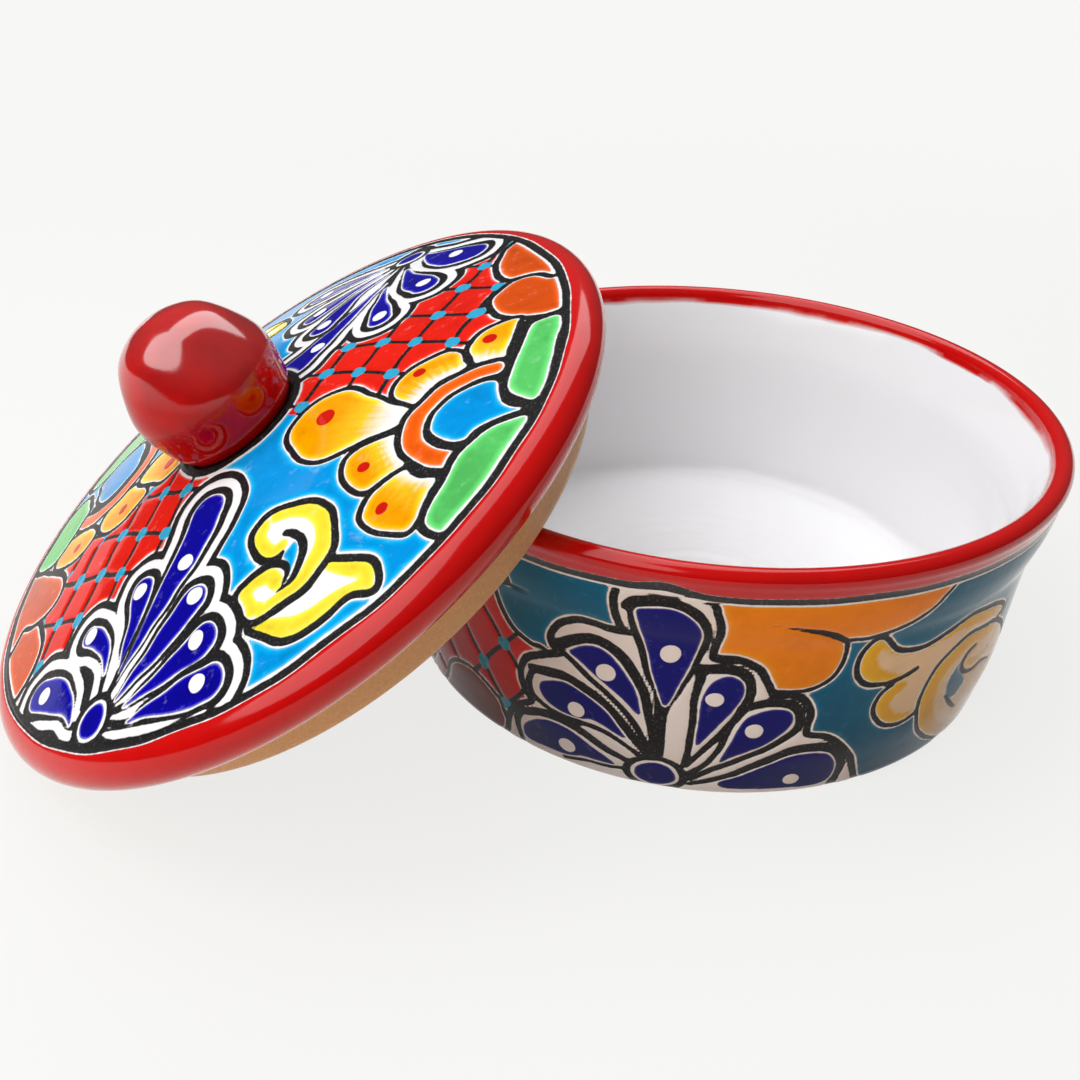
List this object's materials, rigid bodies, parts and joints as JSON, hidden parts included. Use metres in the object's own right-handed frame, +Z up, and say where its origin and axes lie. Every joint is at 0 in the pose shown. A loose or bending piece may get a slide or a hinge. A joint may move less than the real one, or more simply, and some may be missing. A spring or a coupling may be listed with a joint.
{
  "type": "tortilla warmer",
  "caption": "Round glazed ceramic tortilla warmer: a flared-lip bowl with a loose domed lid that has a locating flange and a bulb knob, lid set leaning against the bowl.",
  "frame": {"origin": "centre of the bowl's flat base, on the table", "axes": "+Z up along the bowl's axis; -X towards the leaning lid, which is symmetric about the XZ plane; -Y is the front, the side the picture sees"},
  "size_m": [0.371, 0.24, 0.1436],
  "materials": {
    "bowl": "gloss",
    "lid": "gloss",
    "knob": "gloss"
  },
  "bodies": {
    "bowl": {"bowl": "bowl"},
    "lid": {"lid": "lid", "knob": "knob"}
  },
  "joints": [
    {"name": "lid_lift", "type": "slide", "parent": "bowl", "child": "lid", "axis": [0, 0, 1], "range_m": [0, 0.12]}
  ]
}
